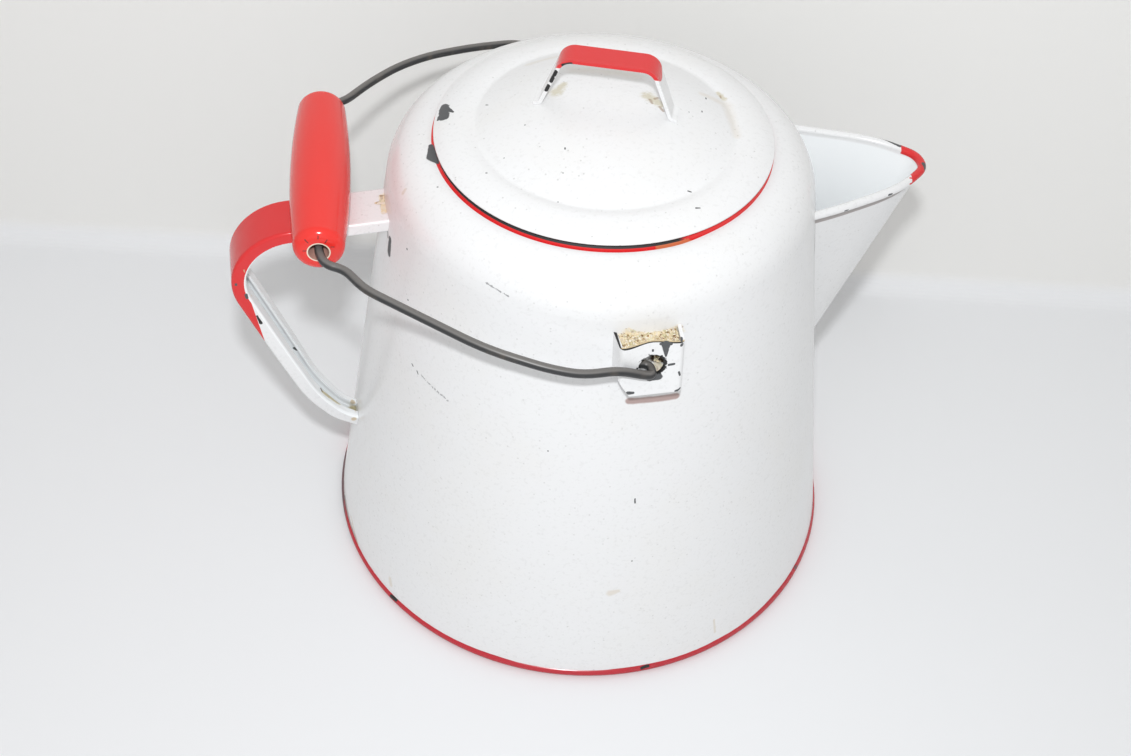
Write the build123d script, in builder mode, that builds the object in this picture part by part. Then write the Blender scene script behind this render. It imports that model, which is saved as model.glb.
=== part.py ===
from build123d import *
import os
from math import asin, cos, degrees, radians, sin, tan

# Enamelled steel coffee pot with a lift-off lid, a strap handle and a wire bail.
# Millimetres. +Z is up, the origin is on the pot's axis in the plane of its base,
# the spout points along +X and the two bail ears stand on the Y axis.

os.makedirs("parts", exist_ok=True)

# Sheet, wire and gaps
sheet = 1.2
wire_diameter = 3.4
running_gap = 0.3

# Body: a tapered wall, a round shoulder and a rolled mouth
base_radius = 115.0
base_bead_diameter = 3.8
base_bead_stand_out = 0.85
wall_slope = 8.66
shoulder_height = 189.0
shoulder_radius = 20.0
shoulder_flat = 0.8
mouth_bead_diameter = 3.0
mouth_bead_rise = 0.6

# Strainer holes in the wall behind the spout, in a triangle that stands on its point
strainer_hole_diameter = 3.2
strainer_rows = 7
strainer_pitch = 7.0
strainer_height = 118.0

# Spout: a rounded V whose lip drops a little towards the nose.
# Each pair is a distance back from the nose and the half width there.
spout_reach = 50.2
spout_lip_height = 181.0
spout_lip_drop = 1.5
spout_foot_height = 80.0
spout_foot_scale = 0.5
spout_bead_diameter = 3.5
spout_shape = [(0.0, 0.0), (1.8, 4.9), (6.0, 9.4), (12.5, 13.9), (24.0, 19.4), (42.0, 25.6), (62.0, 31.2)]
spout_back_slope = 0.28
spout_steps = 8

# Ears: folded boxes, open at the top and the bottom, whose top edge is a little wavy
# and whose lower rear corner is cut off
ear_width = 24.0
ear_flare = 1.0
ear_depth = 8.6
ear_bottom = 162.6
ear_height = 23.8
ear_corner = 2.0
ear_wave = 1.4
ear_cut_width = 4.0
ear_cut_height = 6.5
ear_hole_diameter = 9.2
ear_hole_height = 175.8

# Rear handle: a strap channel with its edges turned in. Its outside line leaves the wall at
# handle_top, falls a little to a corner behind, and meets the wall again at handle_foot after two
# bends, which are given by their distance from the wall and their height.
handle_top = 182.0
handle_fall = 3.6
handle_back = 73.2
handle_knee = (23.7, 82.8)
handle_heel = (10.7, 66.6)
handle_foot = 59.7
handle_bend = 26.0
handle_knee_bend = 80.0
handle_heel_bend = 30.0
joint_depth = 6.0
handle_depth = 5.8
handle_slot = 0.4
handle_edge = 1.2
# Its half width seen from behind, by height
handle_halves = [(50.0, 4.2), (60.0, 5.2), (80.0, 7.9), (100.0, 9.8), (140.0, 10.6), (200.0, 10.9)]

# Lid: a brim, a shallow valley and a dome, with a skirt that drops into the mouth
lid_overhang = 1.6
lid_brim_width = 15.7
lid_crest_inset = 11.7
lid_brim_rise = 3.6
lid_valley_dip = 0.7
lid_valley_bend = 2.5
lid_dome_rise = 12.0
lid_edge = 0.5
skirt_gap = 0.8
skirt_depth = 12.0

# Lid handle
lid_turn = -19.7
lid_handle_sheet = 1.4
lid_handle_rise = 19.5
lid_handle_top_length = 34.6
lid_handle_foot_length = 50.5
lid_handle_tab = 2.6
lid_handle_top_width = 10.8
lid_handle_foot_width = 8.4
lid_handle_bend = 6.0
lid_handle_foot_bend = 1.5
lid_handle_edge = 0.5

# Bail and its wooden grip. The bail's points are (across, out) in the bail's own plane,
# across from the pot's middle along +Y and out from the pivot line.
grip_length = 91.4
grip_diameter = 23.5
grip_end_diameter = 18.6
grip_end_round = 4.2
grip_mouth_diameter = 7.8
grip_mouth_depth = 14.0
grip_distance = 112.5
grip_offset = 7.6
grip_skew = 5.1
bail_tail = 6.5
bail_wave = 2.0
bail_standing = 7.5
bail_bend_share = 0.45
bail_right = [
    (-99.2, 27.0),
    (-96.2, 39.5),
    (-87.2, 60.6),
    (-71.0, 82.8),
    (-57.2, 101.6),
    (-47.2, 107.6),
    (-44.4, 114.8),
]
bail_left = [(58.0, 98.6), (72.0, 87.2), (85.5, 73.8), (95.9, 58.8), (105.3, 37.5), (112.0, 15.0)]

# Body shell

slope = radians(wall_slope)
base_bead_radius = base_bead_diameter / 2
base_bead_ring = base_radius - base_bead_radius


def wall_radius(height):
    """Outside radius of the tapered wall at a height."""
    foot = base_radius - base_bead_stand_out + base_bead_radius * tan(slope)
    return foot - height * tan(slope)


shoulder_ring = wall_radius(shoulder_height) - shoulder_radius * cos(slope)
shoulder_center = shoulder_height - shoulder_radius * sin(slope)
shoulder_top = shoulder_center + shoulder_radius
mouth_ring = shoulder_ring - shoulder_flat
mouth_bead_radius = mouth_bead_diameter / 2
mouth_bead_height = shoulder_top - sheet / 2 + mouth_bead_rise
mouth_top = mouth_bead_height + mouth_bead_radius


def pot_line(inset):
    """Wall and shoulder in section, moved in from the outside surface."""
    wall_foot = (wall_radius(sheet) - inset / cos(slope), sheet)
    turn = (
        shoulder_ring + (shoulder_radius - inset) * cos(slope),
        shoulder_center + (shoulder_radius - inset) * sin(slope),
    )
    mouth = (mouth_ring, shoulder_top - inset)
    Line(wall_foot, turn)
    CenterArc((shoulder_ring, shoulder_center), shoulder_radius - inset, wall_slope, 90 - wall_slope)
    Line((shoulder_ring, shoulder_top - inset), mouth)
    return wall_foot, mouth


with BuildPart() as body_shell:
    with BuildSketch(Plane.XZ):
        with BuildLine():
            outer_foot, outer_mouth = pot_line(0)
            inner_foot, inner_mouth = pot_line(sheet)
            Line(outer_foot, inner_foot)
            Line(outer_mouth, inner_mouth)
        make_face()
        with Locations((mouth_ring, mouth_bead_height)):
            Circle(mouth_bead_radius)
    revolve(axis=Axis.Z)
    with BuildSketch(Plane.YZ.offset(mouth_ring)):
        for row in range(strainer_rows):
            row_height = strainer_height + row * strainer_pitch * sin(radians(60))
            for hole in range(row + 1):
                with Locations(((hole - row / 2) * strainer_pitch, row_height)):
                    Circle(strainer_hole_diameter / 2)
    extrude(amount=base_radius - mouth_ring, mode=Mode.SUBTRACT)

# The solid that the wall and shoulder enclose: what stands against the pot is trimmed with it.
with BuildPart() as pot_form:
    with BuildSketch(Plane.XZ):
        with BuildLine():
            foot, mouth = pot_line(0)
            Polyline(mouth, (0, shoulder_top), (0, sheet), foot)
        make_face()
    revolve(axis=Axis.Z)

# Bottom pan, closed round the wall's foot with a bead

with BuildPart() as bottom_pan:
    with BuildSketch(Plane.XZ):
        Rectangle(base_bead_ring, sheet, align=(Align.MIN, Align.MIN))
        with Locations((base_bead_ring, base_bead_radius)):
            Circle(base_bead_radius)
    revolve(axis=Axis.Z)
    add(body_shell.part, mode=Mode.SUBTRACT)

# Spout

lip_start = wall_radius(spout_lip_height)
lip_tilt = asin(spout_lip_drop / spout_reach)
lip_plane = Plane(
    origin=(lip_start, 0, spout_lip_height),
    x_dir=(cos(lip_tilt), 0, -sin(lip_tilt)),
    z_dir=(sin(lip_tilt), 0, cos(lip_tilt)),
)
foot_plane = Plane(origin=(wall_radius(spout_foot_height), 0, spout_foot_height))
spout_sections = [(foot_plane, 0, spout_foot_scale), (lip_plane, spout_reach, 1)]


def spout_side(nose, scale, inset=0):
    """One side of the rounded V, from the nose back into the pot, moved in by an inset."""
    back_end = (-1, spout_back_slope)
    points = [(nose - scale * back, scale * half) for back, half in spout_shape]
    outside = Spline(points, tangents=[(0, 1), back_end], mode=Mode.PRIVATE)
    steps = [step / spout_steps for step in range(spout_steps + 1)]
    points = [outside @ step + (outside % step).rotate(Axis.Z, 90) * inset for step in steps]
    return Spline(points, tangents=[(0, 1), back_end])


def spout_form(inset):
    """The solid V from foot to lip, its surface moved in by an inset."""
    with BuildPart() as form:
        for plane, nose, scale in spout_sections:
            with BuildSketch(plane):
                with BuildLine():
                    side = spout_side(nose, scale, inset)
                    mirror(side, about=Plane.XZ)
                    Line(side @ 1, ((side @ 1).X, -(side @ 1).Y))
                make_face()
        loft()
    return form.part


spout_outside = spout_form(0)
spout_inside = spout_form(sheet)

with BuildLine() as lip_side:
    spout_side(spout_reach, 1)

lip_bead_line = lip_plane.location * lip_side.line

with BuildPart() as spout:
    with BuildSketch(Plane(origin=lip_bead_line @ 0, z_dir=lip_bead_line % 0)):
        Circle(spout_bead_diameter / 2)
    sweep(path=lip_bead_line)
    mirror(about=Plane.XZ)
    add(spout_outside)
    add(spout_inside, mode=Mode.SUBTRACT)
    add(pot_form.part, mode=Mode.SUBTRACT)

# Ears: the right one is at -Y, the left one is its mirror image

ear_top = ear_bottom + ear_height
ear_lean = (0, sin(slope), cos(slope))


def ear_plan(inset):
    """Plan of the folded box at its bottom, moved in by an inset."""
    face = -wall_radius(ear_bottom) - ear_depth + inset
    half = ear_width / 2 - inset
    back = face + ear_depth + ear_width / 4
    folds = [(half + ear_flare, back), (half, face), (-half, face), (-half - ear_flare, back)]
    FilletPolyline(folds, radius=ear_corner - inset)
    Line(folds[-1], folds[0])


with BuildPart() as right_ear:
    for inset, mode in [(0, Mode.ADD), (sheet, Mode.SUBTRACT)]:
        with BuildSketch(Plane.XY.offset(ear_bottom)):
            with BuildLine():
                ear_plan(inset)
            make_face()
        extrude(amount=ear_height / cos(slope), dir=ear_lean, mode=mode)
    with BuildSketch(Plane.XZ):
        with BuildLine():
            side = ear_width / 2 + ear_flare + sheet
            middle = ear_top - ear_wave
            clear = ear_top + ear_depth
            waves = [(-0.4, -0.8), (-0.05, 0.8), (0.3, -0.1)]
            crests = [(ear_width * across, middle + ear_wave * up) for across, up in waves]
            Spline([(-side, middle)] + crests + [(side, middle)])
            Polyline((-side, middle), (-side, clear), (side, clear), (side, middle))
        make_face()
        cut_start = -ear_width / 2 + ear_cut_width
        cut_low = ear_bottom - sheet
        corner = [(cut_start, cut_low), (cut_start, ear_bottom), (-ear_width / 2, ear_bottom + ear_cut_height)]
        with BuildLine():
            Polyline(*corner, (-side, ear_bottom + ear_cut_height), (-side, cut_low), close=True)
        make_face()
    extrude(amount=base_radius, mode=Mode.SUBTRACT)
    with BuildSketch(Plane.XZ):
        with Locations((0, ear_hole_height)):
            Circle(ear_hole_diameter / 2)
    extrude(amount=base_radius, mode=Mode.SUBTRACT)
    add(pot_form.part, mode=Mode.SUBTRACT)

with BuildPart() as left_ear:
    add(mirror(right_ear.part, about=Plane.XZ, mode=Mode.PRIVATE))

# Rear handle


def behind(out, height):
    """Point behind the pot, by its distance from the wall at its height."""
    return Vector(-wall_radius(height) - out, 0, height)


handle_corner = (handle_back, handle_top - handle_fall)
handle_places = [(0, handle_top), handle_corner, handle_knee, handle_heel, (0, handle_foot)]
handle_marks = [behind(*place) for place in handle_places]
handle_marks[0] -= (handle_marks[1] - handle_marks[0]).normalized() * joint_depth
handle_marks[-1] += (handle_marks[-1] - handle_marks[-2]).normalized() * joint_depth

with BuildLine() as handle_line:
    FilletPolyline(handle_marks, radius=[handle_bend, handle_knee_bend, handle_heel_bend])

handle_start = Plane(origin=handle_line.line @ 0, x_dir=(0, 1, 0), z_dir=handle_line.line % 0)


def handle_run(near, far, scale, inset):
    """Strap between two depths under the outside line, narrowed by a scale and an inset."""
    halves = [(scale * half - inset, height) for height, half in handle_halves]
    with BuildPart() as run:
        with BuildSketch(handle_start):
            with Locations((0, near)):
                Rectangle(2 * base_radius, far - near, align=(Align.CENTER, Align.MIN))
        sweep(path=handle_line.line)
        with BuildSketch(Plane.YZ):
            with BuildLine():
                side = Spline(halves)
                mirror(side, about=Plane.YZ)
                for end in (side @ 0, side @ 1):
                    Line(end, (-end.X, end.Y))
            make_face()
        extrude(amount=-2 * base_radius, mode=Mode.INTERSECT)
    return run.part


strap = handle_run(0, handle_depth, 1, 0)
cavity = handle_run(sheet, handle_depth - sheet, 1, sheet)
slot = handle_run(handle_depth - 2 * sheet, handle_depth + sheet, handle_slot, 0)

with BuildPart() as rear_handle:
    add(strap)
    along = rear_handle.edges().filter_by(lambda edge: abs((edge % 0.5).Y) < 0.5)
    long_edges = along.filter_by(lambda edge: edge.length > handle_depth + sheet / 2)
    fillet(long_edges, handle_edge)
    add(cavity, mode=Mode.SUBTRACT)
    add(slot, mode=Mode.SUBTRACT)
    add(pot_form.part, mode=Mode.SUBTRACT)

# Lid: brim, valley and dome in one pressed sheet

lid_radius = mouth_ring + lid_overhang
lid_seat = mouth_top + running_gap
valley_radius = lid_radius - lid_brim_width
crest_radius = lid_radius - lid_crest_inset
crest_height = lid_seat + sheet + lid_brim_rise
valley_height = crest_height - lid_valley_dip
apex_height = valley_height + lid_dome_rise
dome_radius = (valley_radius**2 + lid_dome_rise**2) / (2 * lid_dome_rise)


def dome_height(radius):
    """Height of the dome's top surface at a distance from the axis."""
    return apex_height - dome_radius + (dome_radius**2 - radius**2) ** 0.5


def lid_line(drop):
    """The lid's surface in section, from the apex to the edge, lowered by a drop."""
    apex = (0, apex_height - drop)
    valley = (valley_radius, valley_height - drop)
    crest = (crest_radius, crest_height - drop)
    edge = (lid_radius, lid_seat + sheet - drop)
    TangentArc([apex, valley], tangent=(1, 0))
    TangentArc([crest, valley], tangent=(-1, 0))
    TangentArc([crest, edge], tangent=(1, 0))
    return apex, edge


with BuildPart() as lid_shell:
    with BuildSketch(Plane.XZ) as lid_section:
        with BuildLine():
            top_apex, top_edge = lid_line(0)
            under_apex, under_edge = lid_line(sheet)
            Line(top_apex, under_apex)
            Line(top_edge, under_edge)
        make_face()
        for radius, bend in [(valley_radius, lid_valley_bend), (lid_radius, lid_edge)]:
            corners = [corner for corner in lid_section.vertices() if abs(corner.X - radius) < sheet / 2]
            fillet(corners, bend)
    revolve(axis=Axis.Z)

# Lid skirt: a ring fixed under the brim

skirt_radius = mouth_ring - mouth_bead_radius - skirt_gap

with BuildPart() as lid_skirt:
    with BuildSketch(Plane.XZ):
        with Locations((skirt_radius - sheet, lid_seat - skirt_depth)):
            Rectangle(sheet, skirt_depth + lid_brim_rise, align=(Align.MIN, Align.MIN))
        with BuildLine():
            under_apex, under_edge = lid_line(sheet)
            above = apex_height + skirt_depth
            Polyline(under_edge, (lid_radius, above), (0, above), under_apex)
        make_face(mode=Mode.SUBTRACT)
    revolve(axis=Axis.Z)

# Lid handle

lid_handle_plane = Plane(
    origin=(0, 0, 0),
    x_dir=(cos(radians(lid_turn)), sin(radians(lid_turn)), 0),
    z_dir=(sin(radians(lid_turn)), -cos(radians(lid_turn)), 0),
)
lid_handle_foot = dome_height(lid_handle_foot_length / 2) + lid_handle_sheet / 2
lid_handle_top = apex_height + lid_handle_rise - lid_handle_sheet / 2
tab_end = lid_handle_foot_length / 2 + lid_handle_tab
lid_handle_side = [
    (lid_handle_top_length / 2, lid_handle_top),
    (lid_handle_foot_length / 2, lid_handle_foot),
    (tab_end, dome_height(tab_end) + lid_handle_sheet / 2),
]
lid_handle_marks = [(-out, height) for out, height in reversed(lid_handle_side)] + lid_handle_side
lid_handle_bends = [lid_handle_foot_bend, lid_handle_bend, lid_handle_bend, lid_handle_foot_bend]

with BuildPart() as lid_handle:
    with BuildLine(lid_handle_plane) as lid_handle_line:
        FilletPolyline(lid_handle_marks, radius=lid_handle_bends)
    start = Plane(lid_handle_line.line @ 0, x_dir=lid_handle_plane.z_dir, z_dir=lid_handle_line.line % 0)
    with BuildSketch(start):
        Rectangle(lid_handle_top_width, lid_handle_sheet)
    sweep(path=lid_handle_line.line)
    with BuildSketch(Plane(origin=(0, 0, 0), x_dir=lid_handle_plane.z_dir, z_dir=lid_handle_plane.x_dir)):
        with BuildLine():
            Polyline(
                (lid_handle_top_width / 2, -lid_handle_top - lid_handle_sheet),
                (lid_handle_foot_width / 2, -lid_handle_foot + lid_handle_sheet),
                (-lid_handle_foot_width / 2, -lid_handle_foot + lid_handle_sheet),
                (-lid_handle_top_width / 2, -lid_handle_top - lid_handle_sheet),
                close=True,
            )
        make_face()
    extrude(amount=lid_radius, both=True, mode=Mode.INTERSECT)
    add(lid_shell.part, mode=Mode.SUBTRACT)

# Bail: one wire hooked through both ears, lying back on the rear handle

wire_radius = wire_diameter / 2
pivot_height = ear_hole_height - ear_hole_diameter / 2 + wire_radius + running_gap
strap_under_grip = handle_top - handle_fall * (grip_distance - wall_radius(handle_top)) / handle_back
grip_height = strap_under_grip + grip_diameter / 2 + running_gap
bail_rise = asin((grip_height - pivot_height) / grip_distance)
bail_plane = Plane(
    origin=(0, 0, pivot_height), x_dir=(0, 1, 0), z_dir=(sin(bail_rise), 0, cos(bail_rise))
)
ear_face = wall_radius(pivot_height) + ear_depth
tail_place = ear_face - ear_depth / 2 + sheet / 2
arm_place = ear_face + wire_radius + running_gap


def along_grip(distance):
    """Point on the grip's axis in the bail's plane, from the grip's middle towards the left ear."""
    skew = radians(grip_skew)
    return (grip_offset + distance * cos(skew), grip_distance - distance * sin(skew), 0)


bail_marks = (
    [(-tail_place, bail_tail, 0), (-tail_place, 0, 0), (-arm_place, 0, 0)]
    + [(-arm_place, wire_diameter, 0), (-arm_place, 4 * wire_diameter, bail_wave)]
    + [(across, out, 0) for across, out in bail_right]
    + [along_grip(-grip_length / 2), along_grip(grip_length / 2)]
    + [(across, out, 0) for across, out in bail_left]
    + [(arm_place + bail_standing, 0, 0), (tail_place, 0, 0), (tail_place, bail_tail, 0)]
)


def bend_radii(marks):
    """Radius of each bend: a share of the shorter run, divided by the tangent of half the turn."""
    radii = []
    for before, mark, after in zip(marks, marks[1:], marks[2:]):
        arrive, leave = Vector(mark) - Vector(before), Vector(after) - Vector(mark)
        turn = radians(arrive.get_angle(leave))
        radii.append(bail_bend_share * min(arrive.length, leave.length) / tan(turn / 2))
    return radii


with BuildPart() as bail_wire:
    with BuildLine(bail_plane) as bail_line:
        FilletPolyline(bail_marks, radius=bend_radii(bail_marks))
    with BuildSketch(Plane(origin=bail_line.line @ 0, z_dir=bail_line.line % 0)):
        Circle(wire_radius)
    sweep(path=bail_line.line)

# Grip: turned wood, bored through, with a wide mouth at each end

grip_middle = bail_plane.from_local_coords(Vector(*along_grip(0)))
grip_axis = bail_plane.from_local_coords(Vector(*along_grip(1))) - grip_middle
grip_plane = Plane(origin=grip_middle, x_dir=grip_axis, z_dir=bail_plane.z_dir)
bore_radius = wire_radius + running_gap

with BuildPart() as bail_grip:
    with BuildSketch(grip_plane) as grip_section:
        with BuildLine():
            end = grip_length / 2
            ThreePointArc((-end, grip_end_diameter / 2), (0, grip_diameter / 2), (end, grip_end_diameter / 2))
            Polyline(
                (end, grip_end_diameter / 2),
                (end, grip_mouth_diameter / 2),
                (end - grip_mouth_depth, bore_radius),
                (grip_mouth_depth - end, bore_radius),
                (-end, grip_mouth_diameter / 2),
                (-end, grip_end_diameter / 2),
            )
        make_face()
        rims = grip_section.vertices().sort_by(Axis.Y)[-2:]
        fillet(rims, grip_end_round)
    revolve(axis=Axis(origin=grip_middle, direction=grip_axis))

# The finished pieces

body_shell.part.label = "body_shell"
export_step(body_shell.part, "parts/body_shell.step")
bottom_pan.part.label = "bottom_pan"
export_step(bottom_pan.part, "parts/bottom_pan.step")
spout.part.label = "spout"
export_step(spout.part, "parts/spout.step")
right_ear.part.label = "right_ear"
export_step(right_ear.part, "parts/right_ear.step")
left_ear.part.label = "left_ear"
export_step(left_ear.part, "parts/left_ear.step")
rear_handle.part.label = "rear_handle"
export_step(rear_handle.part, "parts/rear_handle.step")
lid_shell.part.label = "lid_shell"
export_step(lid_shell.part, "parts/lid_shell.step")
lid_skirt.part.label = "lid_skirt"
export_step(lid_skirt.part, "parts/lid_skirt.step")
lid_handle.part.label = "lid_handle"
export_step(lid_handle.part, "parts/lid_handle.step")
bail_wire.part.label = "bail_wire"
export_step(bail_wire.part, "parts/bail_wire.step")
bail_grip.part.label = "bail_grip"
export_step(bail_grip.part, "parts/bail_grip.step")
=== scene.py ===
from math import cos, pi, radians, sin
from random import Random

import bpy
from mathutils import Matrix, Vector
from mathutils.bvhtree import BVHTree


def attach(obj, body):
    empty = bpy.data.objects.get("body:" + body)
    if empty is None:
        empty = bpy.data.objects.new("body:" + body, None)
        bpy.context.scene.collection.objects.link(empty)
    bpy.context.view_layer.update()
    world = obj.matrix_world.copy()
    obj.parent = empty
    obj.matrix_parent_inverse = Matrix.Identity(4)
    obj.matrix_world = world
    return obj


# Enamelled steel coffee pot with a lift-off lid, a strap handle and a wire bail.
# Metres, in the model's frame: +Z up along the pot's axis, +X towards the spout.

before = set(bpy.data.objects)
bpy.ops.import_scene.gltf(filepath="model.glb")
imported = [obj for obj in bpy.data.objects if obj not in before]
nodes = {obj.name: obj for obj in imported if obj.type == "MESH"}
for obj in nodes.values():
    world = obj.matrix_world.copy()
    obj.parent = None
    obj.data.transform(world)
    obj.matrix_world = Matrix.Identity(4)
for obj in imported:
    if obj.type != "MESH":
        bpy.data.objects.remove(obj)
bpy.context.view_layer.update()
MM = 0.001

# Camera: where the photograph was taken from

PICTURE = (1131, 756)
CAMERA_DISTANCE = 0.48309
CAMERA_HEIGHT = 0.57425
CAMERA_BEARING = radians(14.2)
CAMERA_HEADING = radians(13.088)
CAMERA_DROP = radians(46.326)
CAMERA_ROLL = radians(3.425)
SENSOR_WIDTH = 36.0
LENS = 48.70
CLIP_START = 0.02

camera_place = Matrix.Translation(
    (-CAMERA_DISTANCE * sin(CAMERA_BEARING), -CAMERA_DISTANCE * cos(CAMERA_BEARING), CAMERA_HEIGHT)
)
camera_place = camera_place @ Matrix.Rotation(-CAMERA_HEADING, 4, "Z")
camera_place = camera_place @ Matrix.Rotation(pi / 2 - CAMERA_DROP, 4, "X")
camera_place = camera_place @ Matrix.Rotation(CAMERA_ROLL, 4, "Z")


def make_camera():
    """The camera that the photograph's view needs."""
    data = bpy.data.cameras.new("camera")
    data.lens = LENS
    data.sensor_width = SENSOR_WIDTH
    data.clip_start = CLIP_START
    camera = bpy.data.objects.new("camera", data)
    camera.matrix_world = camera_place
    bpy.context.scene.collection.objects.link(camera)
    bpy.context.scene.camera = camera


make_camera()
bpy.context.scene.view_settings.view_transform = "Standard"

# A pixel that just misses a piece takes the piece's nearest place, sought along the ray in
# steps of a millimetre from this far out
MISS_START = 0.45
MISS_STEPS = 350

trees = {}


def spot(pixel, node):
    """Where the photograph's pixel falls on a node's surface."""
    focal = LENS / SENSOR_WIDTH * PICTURE[0]
    across = (pixel[0] - PICTURE[0] / 2) / focal
    up = (PICTURE[1] / 2 - pixel[1]) / focal
    ray = camera_place.to_3x3() @ Vector((across, up, -1))
    if node not in trees:
        mesh = nodes[node].data
        corners = [vertex.co for vertex in mesh.vertices]
        trees[node] = BVHTree.FromPolygons(corners, [face.vertices[:] for face in mesh.polygons])
    eye = camera_place.translation
    ray.normalize()
    place = trees[node].ray_cast(eye, ray)[0]
    if place is None:
        passed = (eye + ray * (MISS_START + step * MM) for step in range(MISS_STEPS))
        beside = [trees[node].find_nearest(point) for point in passed]
        place = min(beside, key=lambda found: found[3])[0]
    return place


class Nodes:
    """Adds nodes to one material or group, and links them."""

    def __init__(self, tree):
        self.tree = tree

    def feed(self, socket, value):
        if isinstance(value, bpy.types.NodeSocket):
            self.tree.links.new(value, socket)
        elif value is not None:
            socket.default_value = value

    def add(self, kind, settings=None, **inputs):
        node = self.tree.nodes.new("ShaderNode" + kind)
        for name, value in (settings or {}).items():
            setattr(node, name, value)
        for name, value in inputs.items():
            self.feed(node.inputs[name.replace("_", " ")], value)
        return node

    def math(self, operation, *values):
        node = self.add("Math", {"operation": operation})
        for socket, value in zip(node.inputs, values):
            self.feed(socket, value)
        return node.outputs[0]

    def vector(self, operation, *values):
        node = self.add("VectorMath", {"operation": operation})
        for socket, value in zip(node.inputs, values):
            self.feed(socket, value)
        return node.outputs["Value" if operation in ("LENGTH", "DOT_PRODUCT") else "Vector"]

    def axes(self, place):
        return self.add("SeparateXYZ", Vector=place).outputs

    def across(self, place):
        """How far a place is from the pot's axis."""
        return self.vector("LENGTH", self.vector("MULTIPLY", place, (1, 1, 0)))

    def step(self, value, low, high):
        """0 at low, 1 at high, and smooth between them."""
        node = self.add("MapRange", {"interpolation_type": "SMOOTHSTEP"})
        for name, number in (("Value", value), ("From Min", low), ("From Max", high)):
            self.feed(node.inputs[name], number)
        return node.outputs["Result"]

    def under(self, value, limit, soft):
        """1 under a limit and 0 over it."""
        return self.math("SUBTRACT", 1.0, self.step(value, limit - soft, limit + soft))

    def over(self, value, limit, soft):
        return self.step(value, limit - soft, limit + soft)

    def both(self, *masks):
        whole = masks[0]
        for mask in masks[1:]:
            whole = self.math("MULTIPLY", whole, mask)
        return whole

    def either(self, *masks):
        whole = masks[0]
        for mask in masks[1:]:
            whole = self.math("MAXIMUM", whole, mask)
        return whole

    def blend(self, mask, below, above):
        """One colour over another, by a mask. The Mix node's colours are its sockets 6 and 7."""
        node = self.add("Mix", {"data_type": "RGBA"})
        self.feed(node.inputs[0], mask)
        self.feed(node.inputs[6], opaque(below))
        self.feed(node.inputs[7], opaque(above))
        return node.outputs[2]

    def shift(self, mask, below, above):
        """One number over another, by a mask. The Mix node's numbers are its sockets 2 and 3."""
        node = self.add("Mix", {"data_type": "FLOAT"})
        self.feed(node.inputs[0], mask)
        self.feed(node.inputs[2], below)
        self.feed(node.inputs[3], above)
        return node.outputs[0]

    def noise(self, place, scale, detail=3.0, rough=0.55):
        node = self.add("TexNoise", Vector=place, Scale=scale, Detail=detail, Roughness=rough)
        return node.outputs[0]

    def group(self, tree, **inputs):
        node = self.tree.nodes.new("ShaderNodeGroup")
        node.node_tree = tree
        for name, value in inputs.items():
            self.feed(node.inputs[name.replace("_", " ")], value)
        return node.outputs[0]


def opaque(colour):
    """A colour with full alpha, or the socket that it came as."""
    return (*colour, 1.0) if isinstance(colour, tuple) and len(colour) == 3 else colour


# Studio: a pale table and wall, one soft lamp above the camera and pale light all round

WALL_BEHIND = 0.152
WALL_HEIGHT = 1.6
STAGE_REACH = 2.2
CORNER_RADIUS = 0.012
CORNER_STEPS = 8
WALL_COLOUR_START = 0.25
CLOTH_ROUGHNESS = 0.9
CLOTH_GLOSS = 0.1
FLOOR_DROP = 0.0004
TABLE_COLOUR = (0.86, 0.87, 0.885)
WALL_COLOUR = (0.885, 0.88, 0.86)
LAMP_UP = 0.07
LAMP_REACH = 1.06
LAMP_SIZE = 0.03
LAMP_POWER = 2.55
LAMP_COLOUR = (0.965, 0.98, 1.0)
LAMP_AIM = Vector((0.0, 0.0, 0.11))
FILL_PLACE = (0.0, -1.3, 0.45)
FILL_SIZE = (1.2, 0.8)
FILL_POWER = 0.8
FILL_COLOUR = (0.97, 0.985, 1.0)
WORLD_COLOUR = (0.99, 0.98, 0.97)
WORLD_STRENGTH = 0.54
WORLD_SEEN = 0.80


def stage_material():
    """Pale cloth on the table, a pale wall, and nothing seen from behind."""
    material = bpy.data.materials.new("stage")
    material.use_nodes = True
    net = Nodes(material.node_tree)
    shader = material.node_tree.nodes["Principled BSDF"]
    output = material.node_tree.nodes["Material Output"]
    place = net.add("TexCoord").outputs["Object"]
    wall = net.step(net.axes(place)["Z"], WALL_COLOUR_START * CORNER_RADIUS, CORNER_RADIUS)
    net.feed(shader.inputs["Base Color"], net.blend(wall, TABLE_COLOUR, WALL_COLOUR))
    shader.inputs["Roughness"].default_value = CLOTH_ROUGHNESS
    shader.inputs["Specular IOR Level"].default_value = CLOTH_GLOSS
    clear = net.add("BsdfTransparent")
    back = net.add("NewGeometry").outputs["Backfacing"]
    both = net.add("MixShader", Fac=back)
    net.feed(both.inputs[1], shader.outputs[0])
    net.feed(both.inputs[2], clear.outputs[0])
    net.feed(output.inputs["Surface"], both.outputs[0])
    return material


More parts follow.
